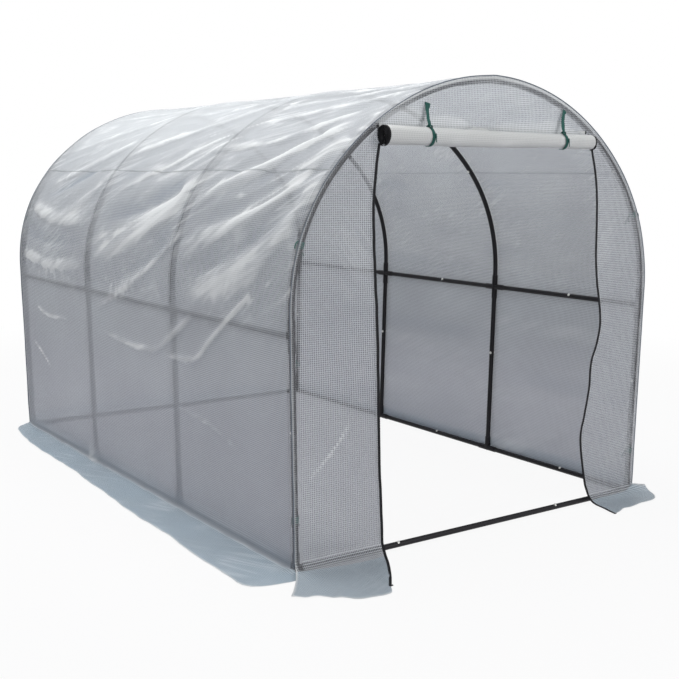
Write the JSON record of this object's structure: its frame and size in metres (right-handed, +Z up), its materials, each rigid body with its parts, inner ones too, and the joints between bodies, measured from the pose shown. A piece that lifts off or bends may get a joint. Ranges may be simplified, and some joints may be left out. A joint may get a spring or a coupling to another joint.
{
  "type": "tunnel greenhouse",
  "caption": "Walk-in tunnel greenhouse: tubular steel hoops and rails under a woven plastic cover, with a rolled-up zip door and ground skirts.",
  "frame": {"origin": "on the ground, in the middle of the footprint", "axes": "+X to the right seen from the door end, +Y from the door end into the depth, +Z up"},
  "size_m": [2.4856, 3.861, 1.9926],
  "materials": {
    "frame_steel": "satin dark coating on steel tube",
    "connector_steel": "satin dark coating on welded steel sleeves",
    "cover_sheet": "translucent white plastic sheet with a reinforcing grid",
    "door_sheet": "translucent white plastic sheet, rolled up",
    "zip_tape": "matte black woven tape with zip coils",
    "tie_cloth": "matte dark green woven tape"
  },
  "bodies": {
    "root": {"cover_left_side": "cover_sheet", "cover_right_side": "cover_sheet", "cover_roof": "cover_sheet", "cover_ties": "tie_cloth", "door_roll": "door_sheet", "front_gable": "cover_sheet", "front_hoop_crown_arcs": "frame_steel", "front_hoop_lower_legs": "frame_steel", "front_hoop_side_arcs": "frame_steel", "front_hoop_upper_legs": "frame_steel", "front_left_panel": "cover_sheet", "front_left_skirt": "cover_sheet", "front_right_panel": "cover_sheet", "front_right_skirt": "cover_sheet", "ground_rail_front_lengths": "frame_steel", "ground_rail_rear_lengths": "frame_steel", "left_base_connectors": "connector_steel", "left_rail_connectors": "connector_steel", "left_skirt": "cover_sheet", "mid_rail_front_lengths": "frame_steel", "mid_rail_rear_lengths": "frame_steel", "rear_hoop_crown_arcs": "frame_steel", "rear_hoop_lower_legs": "frame_steel", "rear_hoop_side_arcs": "frame_steel", "rear_hoop_upper_legs": "frame_steel", "rear_skirt": "cover_sheet", "rear_wall": "cover_sheet", "ridge_connectors": "connector_steel", "ridge_rail_front_lengths": "frame_steel", "ridge_rail_rear_lengths": "frame_steel", "right_base_connectors": "connector_steel", "right_rail_connectors": "connector_steel", "right_skirt": "cover_sheet", "roll_ties": "tie_cloth", "second_hoop_crown_arcs": "frame_steel", "second_hoop_lower_legs": "frame_steel", "second_hoop_side_arcs": "frame_steel", "second_hoop_upper_legs": "frame_steel", "third_hoop_crown_arcs": "frame_steel", "third_hoop_lower_legs": "frame_steel", "third_hoop_side_arcs": "frame_steel", "third_hoop_upper_legs": "frame_steel", "threshold_end_lengths": "frame_steel", "threshold_middle_lengths": "frame_steel", "zip_tapes": "zip_tape"}
  },
  "joints": []
}
